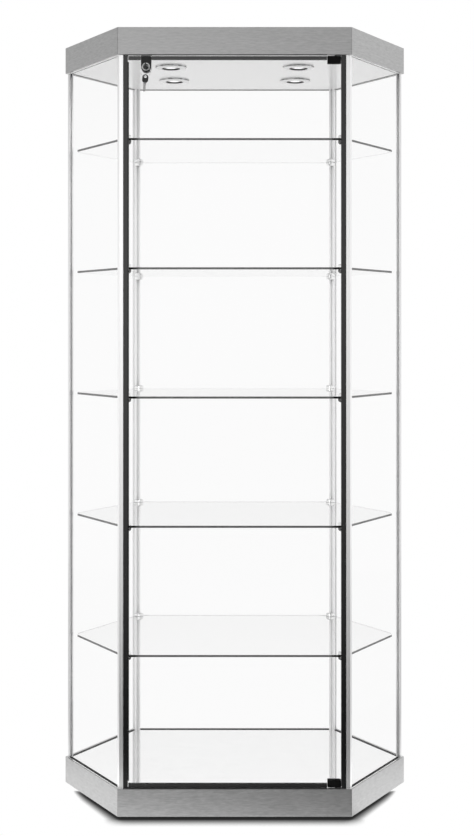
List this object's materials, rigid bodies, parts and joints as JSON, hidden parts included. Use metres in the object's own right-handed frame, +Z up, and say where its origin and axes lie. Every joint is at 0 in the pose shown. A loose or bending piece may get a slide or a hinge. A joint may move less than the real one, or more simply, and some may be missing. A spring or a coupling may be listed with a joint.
{
  "type": "display case",
  "caption": "Tall six-sided glass display tower with a lockable swinging glass door, adjustable glass shelves, aluminium corner posts, silver base and cap, and ceiling lamps.",
  "frame": {"origin": "on the floor under the centre of the six-sided plan", "axes": "+Z up; the door faces -Y; +X to the right, towards the door's hinges, seen from the front"},
  "size_m": [0.8398, 0.5382, 1.829],
  "materials": {
    "brushed_band": "brushed silver, grain along the band",
    "post_aluminium": "satin anodised",
    "pane_glass": "clear float glass, polished edges",
    "pale_laminate": "board with pale grey laminate",
    "bare_board": "bare board",
    "black_rubber": "satin black",
    "dark_channel": "dark grey",
    "pale_channel": "pale grey",
    "black_metal": "satin black",
    "bright_steel": "polished",
    "screw_steel": "zinc plated",
    "black_plastic": "matt black",
    "pale_metal": "pale grey",
    "lamp_can": "plain",
    "lens_glass": "frosted",
    "bulb": "lamp with ceramic foot",
    "lead_plastic": "pale grey",
    "top_laminate": "board with grey laminate"
  },
  "bodies": {
    "cabinet": {"base_fascia": "brushed_band", "base_deck": "pale_laminate", "base_floor_board": "bare_board", "base_blocks": "bare_board", "foot_pads": "black_plastic", "foot_studs": "screw_steel", "foot_nuts": "screw_steel", "posts_front": "post_aluminium", "posts_side": "post_aluminium", "posts_back": "post_aluminium", "post_screws": "screw_steel", "glass_front_left": "pane_glass", "glass_front_right": "pane_glass", "glass_back_left": "pane_glass", "glass_back_right": "pane_glass", "glass_back": "pane_glass", "glazing_bottom": "dark_channel", "glazing_top": "pale_channel", "jamb_seal_left": "black_rubber", "jamb_seal_right": "black_rubber", "cap_fascia": "brushed_band", "ceiling_board": "pale_laminate", "cap_top_board": "top_laminate", "cable_grommet": "black_rubber", "lamp_bezels": "pale_metal", "lamp_housings": "lamp_can", "lamp_lenses": "lens_glass", "lamp_bulbs": "bulb", "transformer": "black_plastic", "lamp_leads": "lead_plastic", "hinge_bushes": "black_plastic", "lock_strike": "screw_steel"},
    "door": {"door_glass": "pane_glass", "door_edge_seals": "black_rubber", "hinge_clamps": "black_metal", "hinge_pins": "screw_steel", "door_screws": "screw_steel", "lock_case": "black_metal", "lock_collar": "bright_steel", "lock_back": "black_metal"},
    "lock_core": {"lock_plug": "bright_steel", "key": "black_plastic"},
    "bolt": {"lock_bolt": "screw_steel"},
    "hanging_keys": {"key_ring": "bright_steel", "spare_key": "black_plastic"},
    "shelf_1": {"shelf_1": "pane_glass", "shelf_1_clamps": "bright_steel", "shelf_1_screws": "screw_steel"},
    "shelf_2": {"shelf_2": "pane_glass", "shelf_2_clamps": "bright_steel", "shelf_2_screws": "screw_steel"},
    "shelf_3": {"shelf_3": "pane_glass", "shelf_3_clamps": "bright_steel", "shelf_3_screws": "screw_steel"},
    "shelf_4": {"shelf_4": "pane_glass", "shelf_4_clamps": "bright_steel", "shelf_4_screws": "screw_steel"},
    "shelf_5": {"shelf_5": "pane_glass", "shelf_5_clamps": "bright_steel", "shelf_5_screws": "screw_steel"}
  },
  "joints": [
    {"name": "door_swing", "type": "hinge", "parent": "cabinet", "child": "door", "pos_m": [0.2392, -0.24681, 0.9185], "axis": [0, 0, 1], "range_deg": [0, 100]},
    {"name": "key_turn", "type": "hinge", "parent": "door", "child": "lock_core", "pos_m": [-0.205, -0.25551, 1.7385], "axis": [0, -1, 0], "range_deg": [0, 90]},
    {"name": "bolt_throw", "type": "slide", "parent": "door", "child": "bolt", "axis": [0, 0, 1], "range_m": [0, 0.00708]},
    {"name": "keys_hang", "type": "hinge", "parent": "lock_core", "child": "hanging_keys", "pos_m": [-0.205, -0.27211, 1.7385], "axis": [0, -1, 0], "range_deg": [-45, 0]},
    {"name": "shelf_1_height", "type": "slide", "parent": "cabinet", "child": "shelf_1", "axis": [0, 0, 1], "range_m": [-0.13, 0.13]},
    {"name": "shelf_2_height", "type": "slide", "parent": "cabinet", "child": "shelf_2", "axis": [0, 0, 1], "range_m": [-0.13, 0.13]},
    {"name": "shelf_3_height", "type": "slide", "parent": "cabinet", "child": "shelf_3", "axis": [0, 0, 1], "range_m": [-0.13, 0.13]},
    {"name": "shelf_4_height", "type": "slide", "parent": "cabinet", "child": "shelf_4", "axis": [0, 0, 1], "range_m": [-0.13, 0.13]},
    {"name": "shelf_5_height", "type": "slide", "parent": "cabinet", "child": "shelf_5", "axis": [0, 0, 1], "range_m": [-0.13, 0.13]}
  ],
  "couplings": [
    {"joint": "bolt_throw", "follows": "key_turn", "m_per_rad": 0.0045016},
    {"joint": "keys_hang", "follows": "key_turn", "ratio": -0.5}
  ]
}
